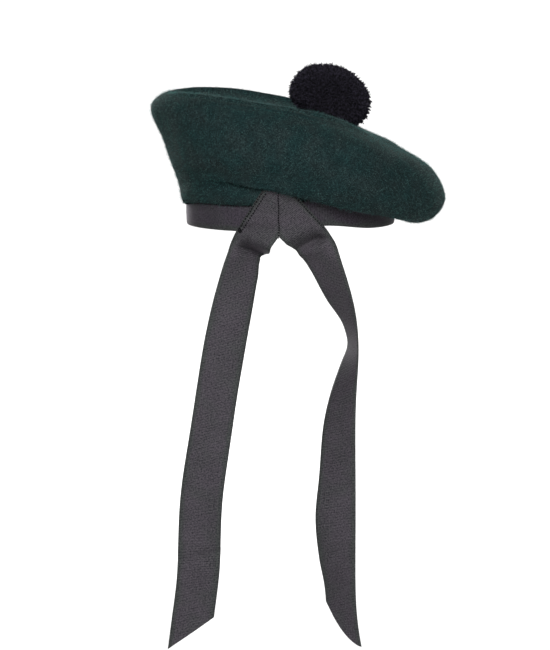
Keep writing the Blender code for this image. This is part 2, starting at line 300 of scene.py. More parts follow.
# A stitch at its stations: the share of its length, how high it stands there as a share of its
# rise, and how thick it is there as a share of its thread.
STITCH_STATIONS = (
    (0.0, -0.5, 0.6), (0.14, 0.45, 1.0), (0.5, 1.0, 1.0), (0.86, 0.45, 1.0), (1.0, -0.5, 0.6),
)

# The felt's nap in two kinds, short matted wool and longer loose hairs. Lowest and steepest say
# how far a fibre lifts for its length, thick is half its thickness, and crest how many times more
# grow on the ridge's crest. Real fibres are 0.03 mm thick and far more in number, so these are
# drawn thicker to cover as much.
# Both kinds are coloured paler than the felt, a painted sheen for the light that real fibres catch
# and let through.
Nap = namedtuple("Nap", "name colour fibres shortest longest lowest steepest thick crest seed")
NAPS = (
    Nap("crown_matted_nap", "#3b5957", 32000, 0.8 * MM, 2.0 * MM, 0.05, 0.4, 0.080 * MM, 0, 7),
    Nap("crown_loose_hairs", "#587f7c", 30000, 1.4 * MM, 3.4 * MM, 0.10, 0.8, 0.055 * MM, 11, 8),
)
Felt = namedtuple("Felt", "points normals areas crests")

# Mesh fineness. The felt has this many rows in each stretch of its profile from the hem on, and
# its seventh stretch ends at the ridge. The ribbons' rows crowd at the top, where they buckle.
FELT_AROUND = 256
FELT_SPANS = (5, 8, 12, 10, 12, 10, 34, 8, 12, 12)
RIDGE_ROW = sum(FELT_SPANS[:7])
RIBBON_ROWS = 380
RIBBON_COLUMNS = 14
ROW_CROWDING = 1.5
YARN_ENDS = 24000


def linear(colour):
    """An sRGB hex colour as linear red, green and blue, and opaque."""
    shares = [int(colour[at:at + 2], 16) / 255 for at in (1, 3, 5)]
    return (*(s / 12.92 if s <= 0.04045 else ((s + 0.055) / 1.055) ** 2.4 for s in shares), 1)


def curve_through(knots, rows, places):
    """Rows read at any place from a smooth curve that passes through each given row."""
    knots, rows, places = (np.asarray(each, float) for each in (knots, rows, places))
    slopes = np.gradient(rows, knots, axis=0)
    span = np.clip(np.searchsorted(knots, places, side="right") - 1, 0, len(knots) - 2)
    width = (knots[span + 1] - knots[span])[:, None]
    t = (places - knots[span])[:, None] / width
    start = rows[span] * (1 - 3 * t**2 + 2 * t**3) + slopes[span] * width * t * (1 - t) ** 2
    end = rows[span + 1] * (3 * t**2 - 2 * t**3) - slopes[span + 1] * width * t**2 * (1 - t)
    return start + end


def smooth_step(share):
    """Goes from 0 to 1 with the share, level at both ends."""
    share = min(max(share, 0.0), 1.0)
    return share * share * (3 - 2 * share)


def hill(distance, spread):
    """1 at no distance, and less and less on both sides as the distance passes the spread."""
    return math.exp(-((distance / spread) ** 2))


def link_piece(name, data, finish, smooth=True):
    """A mesh becomes a piece of the bonnet: it rides on the part and wears its finish."""
    piece = bpy.data.objects.new(name, data)
    bpy.context.scene.collection.objects.link(piece)
    if smooth:
        data.shade_smooth()
    data.materials.append(finish)
    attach(piece, "root")
    return piece


def sew(name, points, faces, finish, smooth=True):
    """A piece from points and faces."""
    data = bpy.data.meshes.new(name)
    data.from_pydata([tuple(point) for point in points], [], faces)
    data.validate()
    return link_piece(name, data, finish, smooth)


def thicken(piece, wall, side):
    """Gives a sheet its wall: side -1 adds it behind the faces, 1 in front of them."""
    solid = piece.modifiers.new("wall", "SOLIDIFY")
    solid.thickness = wall
    solid.offset = side


# The shapes of crown and band


def band_radius(turn, stand):
    """Distance from the head's axis to a curve that stands this far outside the head opening."""
    across = OPENING_ACROSS / 2 + stand
    along = OPENING_ALONG / 2 + stand
    turn = math.radians(turn)
    return across * along / math.hypot(along * math.cos(turn), across * math.sin(turn))


def polar(turn, radius, height):
    """The place at a turn, a distance from the head's axis and a height."""
    turn = math.radians(turn)
    return np.array((radius * math.cos(turn), radius * math.sin(turn), height))


def section_at(turn):
    """Every column of SECTIONS, read at any turn."""
    rows = [np.hstack(section[1:]) for section in SECTIONS]
    turns = [section.turn for section in SECTIONS]
    before, after = [t - 360 for t in turns], [t + 360 for t in turns]
    return curve_through(before + turns + after, rows * 3, [turn % 360])[0]


def crown_profile(turn, spans=FELT_SPANS):
    """Points up the outside of the felt in one upright plane, from the hem to the centre."""
    hem, *columns = section_at(turn)
    *pairs, dish = columns
    stand = BAND_WALL + CLEARANCE + FELT_WALL
    edge = band_radius(turn, stand)
    points = [polar(turn, edge, BAND_HEIGHT + hem * CROWN_DEPTH)]
    for out, up in zip(pairs[::2], pairs[1::2]):
        points.append(polar(turn, edge + out * CROWN_OVERHANG, BAND_HEIGHT + up * CROWN_DEPTH))
    centre = np.array((CENTRE_SHIFT, 0, BAND_HEIGHT + CENTRE_RISE))
    halfway = (points[-1] + centre) / 2
    halfway[2] = BAND_HEIGHT + dish * CROWN_DEPTH
    points += [halfway, centre]
    strides = [math.sqrt(np.linalg.norm(b - a)) for a, b in zip(points, points[1:])]
    knots = np.concatenate(([0], np.cumsum(strides)))
    places = [knots[0]]
    for start, end, steps in zip(knots, knots[1:], spans):
        places += list(np.linspace(start, end, steps + 1)[1:])
    return curve_through(knots, points, places)


def band_lift(turn):
    """How far the band's lower edge is pulled up at a turn."""
    return ARCH_RISE * hill(turn - ARCH_TURN, ARCH_SPREAD)


# Felt


def run_of_crease(turn, begins, ends):
    """1 along a crease and 0 past its ends."""
    return smooth_step((turn - begins) / CREASE_RISES) * smooth_step((ends - turn) / CREASE_DIES)


def felt_relief(point, turn, past):
    """How far the felt stands out of the plain crown at a point: dents, creases, soft handling."""
    out = 0
    for dent in DENTS:
        aside = (turn - dent.turn + 180) % 360 - 180
        near = hill(aside, dent.spread_turn) * hill(point[2] - dent.height, dent.spread_up)
        out += dent.out * near
    for crease in CREASES:
        run = run_of_crease(turn, crease.begins, crease.ends)
        out += run * crease.out * hill(past - crease.past, crease.wide)
    for apart, high in LUMPS:
        out += high * noise.noise(Vector(point) / apart)
    return out


def make_crown(finish):
    """The felt shell: a fine skin with its dents, and the felt's wall behind it."""
    turns = [360 * step / FELT_AROUND for step in range(FELT_AROUND)]
    grid = np.array([crown_profile(turn) for turn in turns])
    up_way = np.gradient(grid, axis=1)
    round_way = np.roll(grid, -1, axis=0) - np.roll(grid, 1, axis=0)
    facing = np.cross(round_way, up_way)
    patches = np.linalg.norm(facing, axis=2)
    facing /= patches[:, :, None] + 1e-12
    strides = np.linalg.norm(np.diff(grid, axis=1, prepend=grid[:, :1]), axis=2)
    travelled = np.cumsum(strides, axis=1)
    rows = grid.shape[1] - 1
    points, normals, areas, crests = [], [], [], []
    for turn, profile, faced, reached, patch in zip(turns, grid, facing, travelled, patches):
        for step in range(rows):
            free = smooth_step(step / HEM_FADE) * smooth_step((rows - step) / CENTRE_FADE)
            past = reached[step] - reached[RIDGE_ROW]
            out = felt_relief(profile[step], turn, past) * free
            points.append(profile[step] + faced[step] * out)
            normals.append(faced[step])
            areas.append(patch[step] * (HEM_WOOL if step < HEM_ROWS else 1))
            crests.append(hill(past, CREST_WIDE) * run_of_crease(turn, CREST_BEGINS, CREST_ENDS))
    centre = len(points)
    faces = []
    for around in range(FELT_AROUND):
        here = around * rows
        there = (around + 1) % FELT_AROUND * rows
        for step in range(rows - 1):
            faces.append((here + step, there + step, there + step + 1, here + step + 1))
        faces.append((here + rows - 1, there + rows - 1, centre))
    crown = sew("crown_felt", points + [grid[0][-1]], faces, finish)
    thicken(crown, FELT_WALL, -1)
    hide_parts("crown")
    return Felt(points, normals, areas, crests)


def make_nap(nap, felt):
    """Loose wool fibres that stand off the felt: bent spindles, rooted just inside it."""
    rng = random.Random(nap.seed)
    shares = [area * (1 + nap.crest * crest) for area, crest in zip(felt.areas, felt.crests)]
    laid, faces = [], []
    for at in rng.choices(range(len(shares)), weights=shares, k=nap.fibres):
        start, out = Vector(felt.points[at]), Vector(felt.normals[at])
        # Rooted a little way off the felt's point, level with it
        root = start + Vector([rng.uniform(-1.4, 1.4) * MM for _ in range(3)])
        root += out * (start - root).dot(out)
        aside = out.cross(Vector([rng.gauss(0, 1) for _ in range(3)])).normalized()
        along = out.cross(aside)
        length = rng.uniform(nap.shortest, nap.longest)
        lift = rng.uniform(nap.lowest, nap.steepest)
        # It rises to its middle and bends over towards its end.
        middle = root + along * length * 0.55 + out * length * lift * 0.75
        end = middle + along * length * rng.uniform(0.1, 0.6) + out * length * lift * 0.4
        end += aside * length * rng.uniform(-0.4, 0.4)
        first = len(laid)
        laid.append(root - out * 0.3 * MM)
        laid.append(middle + aside * nap.thick)
        laid.append(middle - aside * nap.thick * 0.5 + out * nap.thick * 0.9)
        laid.append(middle - aside * nap.thick * 0.5 - out * nap.thick * 0.9)
        laid.append(end)
        for side in (1, 2, 3):
            turn = side % 3 + 1
            faces.append((first, first + turn, first + side))
            faces.append((first + side, first + turn, first + 4))
    fibres = sew(nap.name, laid, faces, painted_sheen_wool(nap.name, nap.colour))
    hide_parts("crown")


# Headband


def make_band(finish):
    """The grosgrain ring: a fine tube of rounded outline with the ribbon's slight waves."""
    around = 360
    high = 14
    points, faces, worn = [], [], []
    for step in range(around):
        turn = 360 * step / around
        lift = band_lift(turn)
        wave = BAND_WAVE * noise.noise(Vector((turn / 17, 0, 3)))
        outline = []
        for row in range(high + 1):
            share = row / high
            out = BAND_WALL + BAND_SWELL * math.sin(math.pi * share) + wave
            outline.append((out, lift + BAND_EDGE + share * (BAND_HEIGHT - BAND_EDGE)))
        inner = [(0, up) for _, up in reversed(outline)]
        # Turns in below the outline, for the rounded lower edge
        foot = [(0.5 * MM, lift + 0.1 * MM), (BAND_WALL - 0.4 * MM, lift)]
        ring = outline + inner + foot
        length = 2 * math.pi * BAND_MEAN_RADIUS * step / around
        for out, up in ring:
            points.append(polar(turn, band_radius(turn, out), up))
            worn.append((up - lift, length))
    count = len(ring)
    for step in range(around):
        here, there = step * count, (step + 1) % around * count
        for at in range(count):
            next_at = (at + 1) % count
            faces.append((here + at, there + at, there + next_at, here + next_at))
    band = sew("headband_ribbon", points, faces, finish)
    lay_weave(band, worn)
    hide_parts("headband")


def lay_weave(piece, worn):
    """Stores across and along the ribbon, in metres, for each point, where the weave reads them."""
    layer = piece.data.uv_layers.new(name="weave")
    for loop in piece.data.loops:
        layer.data[loop.index].uv = worn[loop.vertex_index]


# Ribbon tails


def lap_radius(turn, height):
    """Where a ribbon sewn to the back lies: on the band, over the hem, then up into the tuck."""
    profile = crown_profile(turn, (1,) * len(FELT_SPANS))
    roll, tuck = profile[1], profile[2]
    heights = (LAP_START, roll[2], tuck[2])
    radii = (band_radius(turn, BAND_WALL), np.hypot(*roll[:2]), np.hypot(*tuck[:2]))
    return np.interp(height, heights, radii) + LAP_STAND


# Every point of a sewn ribbon asks for its lap, so the laps are worked out once on a grid.
LAP_TURNS = np.arange(230, 311, 2)
LAP_HEIGHTS = np.arange(-40, 42, 2) * MM
LAP_TABLE = np.array([[lap_radius(turn, up) for up in LAP_HEIGHTS] for turn in LAP_TURNS])


def lap_depth(x, height):
    """The Y at which the sewn ribbon lies at a given X behind the head."""
    y = -band_radius(270, BAND_WALL + LAP_STAND)
    for _ in range(3):
        turn = math.degrees(math.atan2(y, x)) % 360
        columns = [np.interp(height, LAP_HEIGHTS, row) for row in LAP_TABLE]
        y = -math.sqrt(max(np.interp(turn, LAP_TURNS, columns) ** 2 - x**2, 0))
    return y


class Tail:
    """One ribbon as cut flat, and where each point of it lies once bent and hung.

    Side is -1 for the wearer's left, 1 for the right. Along and across are measured from the
    outer selvedge at the top.
    """

    def __init__(self, side, bends, length, cut, bow, buckles):
        self.side, self.length, self.cut, self.bow, self.buckles = side, length, cut, bow, buckles
        flap_top = BAND_HEIGHT + FLAP_RISE
        self.lean = math.radians(bends[0].lean)
        self.wide = bends[0].wide
        shown = RIBBON_WIDE * self.wide
        self.apex = (flap_top + APEX_DROP - shown * math.sin(self.lean)) / math.cos(self.lean)
        # The level top reaches above the outer selvedge's, so the places begin before 0.
        self.places = np.linspace(-0.12, 1, 450) * length
        table = curve_through(
            [bend.along * length for bend in bends],
            [bend[1:] for bend in bends],
            np.clip(self.places, 0, length),
        )
        leans = np.radians(table[:, 0])
        strides = np.diff(self.places, prepend=self.places[0])
        x = np.cumsum(side * np.sin(leans) * strides)
        z = -np.cumsum(np.cos(leans) * strides)
        reach = shown * math.cos(self.lean) - self.apex * math.sin(self.lean)
        x += side * reach - np.interp(0, self.places, x)
        z += flap_top - np.interp(0, self.places, z)
        self.table = (x, z, *table.T)
        # Where across the ribbon the level top meets the mitre down the seam
        self.corner = (reach - SEAM_GAP / 2) / self.wide * math.cos(self.lean)

    def top(self, across):
        """Where the ribbon begins: level under the felt's lip, then mitred down the seam."""
        inward = across * self.wide
        shown = RIBBON_WIDE * self.wide
        level = -inward * math.tan(self.lean)
        mitre = self.apex - (shown - inward) / math.tan(self.lean)
        return max(level, mitre + SEAM_GAP / 2 / math.sin(self.lean))

    def bottom(self, across):
        """Where the ribbon ends, along its slantwise cut."""
        return self.length - self.cut * (across / RIBBON_WIDE) ** self.bow

    def buckled(self, along, share):
        """How far the buckles push the cloth out at a point, or back where it is negative."""
        pushed = 0
        for buckle in self.buckles:
            brow, deep, lip = (
                (outer + (inner - outer) * share) * MM
                for outer, inner in (buckle.brow, buckle.deep, buckle.lip)
            )
            reach = smooth_step((share - buckle.begins) / buckle.grows)
            if along < brow:
                pushed += reach * buckle.out * hill(along - brow, BROW_SPREAD)
                continue
            curl = min((along - brow) / max(deep - brow, 1 * MM), 1)
            rise = smooth_step((along - max(deep, brow + 1 * MM)) / max(lip - deep, 1 * MM))
            pushed += reach * (buckle.out - (buckle.out + buckle.drop) * smooth_step(curl))
            pushed += reach * buckle.drop * rise
        return pushed

    def at(self, along, across, stand=0.0):
        """The place of a point of the ribbon; stand is how far towards the viewer it stands off."""
        share = across / RIBBON_WIDE
        x, z, lean, wide, deep, behind = (
            np.interp(along, self.places, each) for each in self.table
        )
        lean = math.radians(lean)
        x -= self.side * across * wide * math.cos(lean)
        z -= across * wide * math.sin(lean)
        back = -band_radius(270, BAND_WALL + CLEARANCE)
        hanging = back - behind * RIBBON_WIDE + across * deep
        sewn = lap_depth(x, z) if z > -LEAVING_START - LEAVING_DROP else hanging
        freed = smooth_step((-z - LEAVING_START) / LEAVING_DROP)
        ripple = noise.noise(Vector((along / (34 * MM), share * 1.3, 5 * self.side)))
        y = sewn + (hanging - sewn) * freed
        y -= self.buckled(along, share) * smooth_step(abs(x) / SEAM_FADE)
        # Once free, the cloth cups a little across its width and ripples down its length.
        y -= (0.5 * math.sin(math.pi * share) + 0.9 * ripple) * MM * freed
        return np.array((x, y - stand, z))


def make_tail(name, node, tail, finish):
    """One ribbon on a fine grid, with a column of points where its level top meets the mitre."""
    columns = [RIBBON_WIDE * step / RIBBON_COLUMNS for step in range(RIBBON_COLUMNS + 1)]
    nearest = min(range(len(columns)), key=lambda at: abs(columns[at] - tail.corner))
    columns[nearest] = tail.corner
    points, faces, worn = [], [], []
    for row in range(RIBBON_ROWS + 1):
        share = (row / RIBBON_ROWS) ** ROW_CROWDING
        for across in columns:
            start, end = tail.top(across), tail.bottom(across)
            along = start + (end - start) * share
            points.append(tail.at(along, across))
            worn.append((across, along))
    wide = len(columns)
    for row in range(RIBBON_ROWS):
        for at in range(wide - 1):
            here = row * wide + at
            corners = (here, here + 1, here + wide + 1, here + wide)
            faces.append(corners if tail.side > 0 else corners[::-1])
    ribbon = sew(name, points, faces, finish)
    lay_weave(ribbon, worn)
    thicken(ribbon, RIBBON_WALL, 1)
    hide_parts(node)


# Stitching


class Thread:
    """Gathers stitches, each a short thread that dips into the cloth at both ends."""

    def __init__(self):
        self.points, self.faces = [], []

    def stitch(self, start, end, out, thick=0.55 * MM, rise=0.35 * MM):
        """Adds a stitch that is raised outward; thick is half its thickness."""
        start, end, out = Vector(start), Vector(end), Vector(out).normalized()
        run = (end - start).normalized()
        aside = run.cross(out).normalized()
        first = len(self.points)
        sides = 6
        for share, up, wide in STITCH_STATIONS:
            middle = start.lerp(end, share) + out * rise * up
            for side in range(sides):
                angle = 2 * math.pi * side / sides
                spoke = aside * math.cos(angle) + out * math.sin(angle)
                self.points.append(middle + spoke * thick * wide)
        last = len(self.points) - sides
        for ring in range(first, last, sides):
            for side in range(sides):
                a, b = ring + side, ring + (side + 1) % sides
                self.faces.append((a, a + sides, b + sides, b))
        self.faces.append(tuple(range(first, first + sides)))
        self.faces.append(tuple(range(last + sides - 1, last - 1, -1)))

    def tie_off(self, name, node, finish):
        """Makes all gathered stitches one piece."""
        thread = sew(name, self.points, self.faces, finish)
        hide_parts(node)


def tail_facing(tail, along, across):
    """Which way the ribbon's outside faces at a point."""
    step = 1 * MM
    down = tail.at(along + step, across) - tail.at(along - step, across)
    aside = tail.at(along, across + step) - tail.at(along, across - step)
    facing = Vector(np.cross(down, aside)).normalized()
    return facing if facing.y < 0 else -facing


def sew_flap(thread, tail, row):
    """A row of running stitches along the ribbon, as uneven as a hand sews them."""
    rng = random.Random(int(row.across * 1e6) + 3)
    along = row.begins
    while along + row.length < row.ends:
        wander = rng.uniform(-0.25, 0.25) * MM
        facing = tail_facing(tail, along + row.length / 2, row.across)
        start = tail.at(along, row.across + wander, STITCH_STAND)
        end = tail.at(along + row.length, row.across - wander, STITCH_STAND)
        thread.stitch(start, end, facing)
        along += row.pitch + rng.uniform(-0.2, 0.2) * MM


def sew_tack(thread, tail):
    """Six short threads over one another, where the left flap's two rows of stitches end."""
    for turn in range(6):
        angle = turn * 1.1
        along = 37.5 * MM + 0.9 * MM * math.cos(angle)
        across = 2.2 * MM + 1.3 * MM * math.sin(angle)
        start = tail.at(along - 0.9 * MM, across - 0.5 * MM, TACK_STAND)
        end = tail.at(along + 0.8 * MM, across + 0.7 * MM, TACK_STAND)
        thread.stitch(start, end, (0.2, -1, 0.1), thick=0.42 * MM, rise=0.5 * MM)


def sew_seam(thread):
    """Small stitches down the seam where the two flaps meet, swaying a little from side to side."""
    height = 31 * MM
    while height > -5 * MM:
        y = lap_depth(0, height) - 1.0 * MM
        sway = 0.25 * MM * math.sin(height / (2.4 * MM))
        start = (sway - 0.4 * MM, y, height)
        end = (sway + 0.4 * MM, y, height - 1.3 * MM)
        thread.stitch(start, end, (0, -1, 0), thick=0.4 * MM, rise=0.3 * MM)
        height -= 1.9 * MM


def make_stitching(left, right, finish):
    """The stitches that show on the two flaps and between them."""
    rows = Thread()
    for row in LEFT_FLAP_ROWS:
        sew_flap(rows, left, row)
    sew_tack(rows, left)
    rows.tie_off("left_flap_stitches", "left_tail", finish)

    rows = Thread()
    for row in RIGHT_FLAP_ROWS:
        sew_flap(rows, right, row)
    rows.tie_off("right_flap_stitches", "right_tail", finish)

    rows = Thread()
    sew_seam(rows)
    rows.tie_off("seam_stitches", "left_tail", finish)


def make_hem_stitches(finish):
    """Short upright stitches that hold the felt's hem down to the band, all the way round."""
    rng = random.Random(11)
    rows = Thread()
    turn = 0.0
    while turn < 360:
        profile = crown_profile(turn)
        hem, held = profile[0], profile[2]
        low = polar(turn, band_radius(turn, BAND_WALL + 0.35 * MM), hem[2] - 1.4 * MM)
        high = polar(turn + rng.uniform(-0.3, 0.3), np.hypot(*held[:2]), held[2])
        rows.stitch(low, high, polar(turn, 1, 0), thick=0.32 * MM, rise=0.4 * MM)
        turn += 1.5 + rng.uniform(-0.15, 0.15)
    rows.tie_off("hem_stitches", "headband", finish)


# Toorie


def toorie_surface(way, depth):
    """A place this deep under the ball's outside, which bulges fuller below than an ellipsoid."""
    tall = TOORIE_ABOVE if way.z > 0 else TOORIE_BELOW
    radii = Vector((TOORIE_ACROSS / 2 - depth, TOORIE_ACROSS / 2 - depth, tall - depth))
    flat = math.hypot(way.x, way.y)
    below = max(-way.z, 0)
    full = 1 + 0.10 * (2 * flat * below) ** 2
    return Vector((way.x * radii.x, way.y * radii.y, way.z * radii.z)) * full


def make_core(placed, finish):
    """The dense middle of the pompom, which shows between its yarn ends, drawn darker than them as
    painted shade.
    """
    mesh = bmesh.new()
    bmesh.ops.create_icosphere(mesh, subdivisions=5, radius=1)
    for corner in mesh.verts:
        corner.co = placed @ toorie_surface(corner.co.normalized(), 3.4 * MM)
    data = bpy.data.meshes.new("toorie_core")
    mesh.to_mesh(data)
    mesh.free()
    ball = link_piece("toorie_core", data, finish)
    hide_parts("toorie")


def make_yarn(placed, finish):
    """Cut yarn ends packed evenly all round, trimmed into soft lumps with a few strays."""
    rng = random.Random(21)
    golden = math.pi * (3 - math.sqrt(5))
    points, faces = [], []
    for at in range(YARN_ENDS):
        up = 1 - 2 * (at + 0.5) / YARN_ENDS
        flat = math.sqrt(1 - up * up)
        angle = at * golden
        way = Vector((flat * math.cos(angle), flat * math.sin(angle), up))
        way = (way + Vector([rng.gauss(0, 0.035) for _ in range(3)])).normalized()
        lump = 1.2 * MM * noise.noise(way * 7) + 0.7 * MM * noise.noise(way * 17)
        root = toorie_surface(way, 4.6 * MM)
        stray = 2.2 * MM * rng.random() ** 12
        tip = toorie_surface(way, 1.3 * MM + rng.gauss(0, 0.8) * MM - lump - stray)
        tip += Vector([rng.gauss(0, 0.45) for _ in range(3)]) * MM
        run = (tip - root).normalized()
        aside = run.orthogonal().normalized()
        other = run.cross(aside)
        spin = rng.uniform(0, 2 * math.pi)
        thick = rng.uniform(0.28, 0.42) * MM
        first = len(points)
        for middle in (root, tip):
            for side in range(3):
                turn = spin + 2 * math.pi * side / 3
                spoke = aside * math.cos(turn) + other * math.sin(turn)
                points.append(placed @ (middle + spoke * thick))
        for side in range(3):
            a, b = first + side, first + (side + 1) % 3
            faces.append((a, b, b + 3, a + 3))
        faces.append((first + 3, first + 4, first + 5))
        faces.append((first + 2, first + 1, first))
    tuft = sew("toorie_yarn", points, faces, finish, smooth=False)
    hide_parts("toorie")


def make_toorie(yarn, core):
    """The pompom: yarn ends all round a dense ball, flattened where it meets the felt."""
    leaning = Matrix.Rotation(math.radians(TOORIE_LEAN), 4, "Y")
    seat = Vector((CENTRE_SHIFT, 0, BAND_HEIGHT + CENTRE_RISE))
    middle = seat + leaning @ Vector((0, 0, TOORIE_BELOW + TOORIE_SEAT))
    placed = Matrix.Translation(middle) @ leaning
    make_core(placed, core)
    make_yarn(placed, yarn)


# Finishes


def plug(tree, node, sockets):
    """Fills a node's inputs: sockets are pairs of an input and a value or another node's output."""
    for name, value in sockets:
        if isinstance(value, bpy.types.NodeSocket):
            tree.links.new(value, node.inputs[name])
        else:
            node.inputs[name].default_value = value


def add(tree, kind, sockets=(), **settings):
    """Adds a node with its own settings, and fills its inputs."""
    made = tree.nodes.new(kind)
    for name, value in settings.items():
        setattr(made, name, value)
    plug(tree, made, sockets)
    return made


def grade(dyes, first, last, *between):
    """Puts colours on a ramp, each with its place from 0 to 1."""
    stops = dyes.color_ramp.elements
    for stop, (place, colour) in zip(stops, (first, last)):
        stop.position = place
        stop.color = linear(colour)
    for place, colour in between:
        stops.new(place).color = linear(colour)


def start_finish(name):
    """A new material, its node tree and its shader."""
    finish = bpy.data.materials.new(name)
    finish.use_nodes = True
    tree = finish.node_tree
    return finish, tree, tree.nodes["Principled BSDF"]


def dye_unevenly(tree, colour):
    """Wool takes up its dye unevenly when piece-dyed: greener and greyer patches of about 16 mm."""
    where = add(tree, "ShaderNodeTexCoord").outputs["Object"]
    patches = add(tree, "ShaderNodeTexNoise",
                  [("Vector", where), ("Scale", 1 / (16 * MM)), ("Detail", 3.0)])
    taken = add(tree, "ShaderNodeMapRange",
                [("Value", patches.outputs["Fac"]), ("From Min", 0.35), ("From Max", 0.65),
                 ("To Min", 0.83), ("To Max", 1.15)])
    dyed = add(tree, "ShaderNodeHueSaturation",
               [("Saturation", taken.outputs["Result"]), ("Color", colour)])
    return dyed.outputs["Color"]


def felted_wool():
    """Milled wool felt: matted fibres that scatter light, with no gloss and a soft bright rim."""
    finish, tree, shader = start_finish("felted_wool")
    where = add(tree, "ShaderNodeTexCoord").outputs["Object"]
    # Real fibres are 0.03 mm thick. Their mat is drawn as clumps of about 1 mm, so that it shows.
    mat = add(tree, "ShaderNodeTexNoise",
              [("Vector", where), ("Scale", 1 / (1.0 * MM)), ("Detail", 2.0),
               ("Roughness", 0.7), ("Distortion", 0.4)])
    # Thicker and thinner felt from the milling, in patches of about 12 mm
    patches = add(tree, "ShaderNodeTexNoise",
                  [("Vector", where), ("Scale", 1 / (12 * MM)), ("Detail", 2.0)])
    blend = add(tree, "ShaderNodeMath", [(0, mat.outputs["Fac"]), (1, 0.86)], operation="MULTIPLY")
    cloudy = add(tree, "ShaderNodeMath",
                 [(0, patches.outputs["Fac"]), (1, 0.14), (2, blend.outputs[0])],
                 operation="MULTIPLY_ADD")
    dyes = add(tree, "ShaderNodeValToRGB", [("Fac", cloudy.outputs[0])])
    grade(dyes, (0.34, "#0e191a"), (0.68, "#2f4646"), (0.5, "#1c2a2b"))
    bump = add(tree, "ShaderNodeBump",
               [("Strength", 0.9), ("Distance", 0.5 * MM), ("Height", mat.outputs["Fac"])])
    plug(tree, shader, [
        ("Base Color", dye_unevenly(tree, dyes.outputs["Color"])),
        ("Normal", bump.outputs["Normal"]),
        ("Roughness", 0.95),
        ("Specular IOR Level", 0.05),
        ("Sheen Weight", 0.06),
        ("Sheen Roughness", 0.35),
        ("Sheen Tint", linear("#9fc4ba")),
    ])
    return finish


def painted_sheen_wool(name, colour):
    """Single wool fibres, dyed with the felt but coloured paler than the mat: painted sheen for the
    light they catch.
    """
    finish, tree, shader = start_finish(name)
    plug(tree, shader, [
        ("Base Color", dye_unevenly(tree, linear(colour))),
        ("Roughness", 0.9),
        ("Specular IOR Level", 0.1),
    ])
    return finish


def grosgrain(name, wide, dark, warm, cool, silkiness):
    """Woven grosgrain ribbon: cross ribs of thick weft under fine silky warp, dull gloss on each.

    Silkiness is how much its warp glows at a low angle. The headband's is finer than the tails'.
    """
    finish, tree, shader = start_finish(name)
    flat = add(tree, "ShaderNodeUVMap", uv_map="weave")
    ways = add(tree, "ShaderNodeSeparateXYZ", [("Vector", flat.outputs["UV"])])
    across, along = ways.outputs["X"], ways.outputs["Y"]
    turns = add(tree, "ShaderNodeMath", [(0, along), (1, 2 * math.pi / RIB_STEP)],
                operation="MULTIPLY")
    ribs = add(tree, "ShaderNodeMath", [(0, turns.outputs[0])], operation="SINE")
    warp = add(tree, "ShaderNodeTexNoise",
               [("Vector", flat.outputs["UV"]), ("Scale", 1 / (1.3 * MM)), ("Detail", 2.0),
                ("Roughness", 0.8)])
    drift = add(tree, "ShaderNodeTexNoise",
                [("Vector", flat.outputs["UV"]), ("Scale", 1 / (18 * MM)), ("Detail", 2.0)])
    ribbed = add(tree, "ShaderNodeMath",
                 [(0, ribs.outputs[0]), (1, 0.09), (2, warp.outputs["Fac"])],
                 operation="MULTIPLY_ADD")
    shade = add(tree, "ShaderNodeMath",
                [(0, drift.outputs["Fac"]), (1, 0.12), (2, ribbed.outputs[0])],
                operation="MULTIPLY_ADD")
    # Faded black dye goes lilac in patches of about 20 mm and grey at both selvedges.
    patches = add(tree, "ShaderNodeTexNoise",
                  [("Vector", flat.outputs["UV"]), ("Scale", 1 / (20 * MM)), ("Detail", 3.0)])
    middle = add(tree, "ShaderNodeMath", [(0, across), (1, wide / 2)], operation="SUBTRACT")
    aside = add(tree, "ShaderNodeMath", [(0, middle.outputs[0])], operation="ABSOLUTE")
    selvedge = add(tree, "ShaderNodeMapRange",
                   [("Value", aside.outputs[0]), ("From Min", wide / 2 - 5 * MM),
                    ("From Max", wide / 2 - 1 * MM), ("To Min", 0.0), ("To Max", 0.5)])
    tint = add(tree, "ShaderNodeMath",
               [(0, patches.outputs["Fac"]), (1, selvedge.outputs["Result"])],
               operation="SUBTRACT")
    hues = add(tree, "ShaderNodeValToRGB", [("Fac", tint.outputs[0])])
    grade(hues, (0.12, cool), (0.58, warm))
    depth = add(tree, "ShaderNodeMapRange",
                [("Value", shade.outputs[0]), ("From Min", 0.36), ("From Max", 0.76)])
    # Inputs 6 and 7 are the two colours to mix, and output 2 is the mixed colour.
    threads = add(tree, "ShaderNodeMix",
                  [("Factor", depth.outputs["Result"]), (6, linear(dark)),
                   (7, hues.outputs["Color"])],
                  data_type="RGBA")
    bump = add(tree, "ShaderNodeBump",
               [("Strength", 0.35), ("Distance", 0.15 * MM), ("Height", ribbed.outputs[0])])
    plug(tree, shader, [
        ("Base Color", threads.outputs[2]),
        ("Normal", bump.outputs["Normal"]),
        ("Roughness", 0.75),
        ("Specular IOR Level", 0.15),
        ("Sheen Weight", silkiness),
        ("Sheen Roughness", 0.3),
        ("Sheen Tint", linear("#e6d8e8")),
    ])
    return finish


def cut_yarn(name, dark, pale):
    """Black knitting wool cut short: dull, and a touch paler in tufts of about 2 mm."""
    finish, tree, shader = start_finish(name)
    where = add(tree, "ShaderNodeTexCoord").outputs["Object"]
    tufts = add(tree, "ShaderNodeTexNoise",
                [("Vector", where), ("Scale", 1 / (1.8 * MM)), ("Detail", 2.0)])
    dyes = add(tree, "ShaderNodeValToRGB", [("Fac", tufts.outputs["Fac"])])
    grade(dyes, (0.4, dark), (0.64, pale))
    plug(tree, shader, [
        ("Base Color", dyes.outputs["Color"]),
        ("Roughness", 0.9),
        ("Specular IOR Level", 0.2),
    ])
    return finish


def sewing_thread():
    """Spun polyester thread, near black with a faint gloss."""
    finish, tree, shader = start_finish("sewing_thread")
    plug(tree, shader, [
        ("Base Color", linear("#08080b")),
        ("Roughness", 0.7),
        ("Specular IOR Level", 0.1),
    ])
    return finish


# Studio


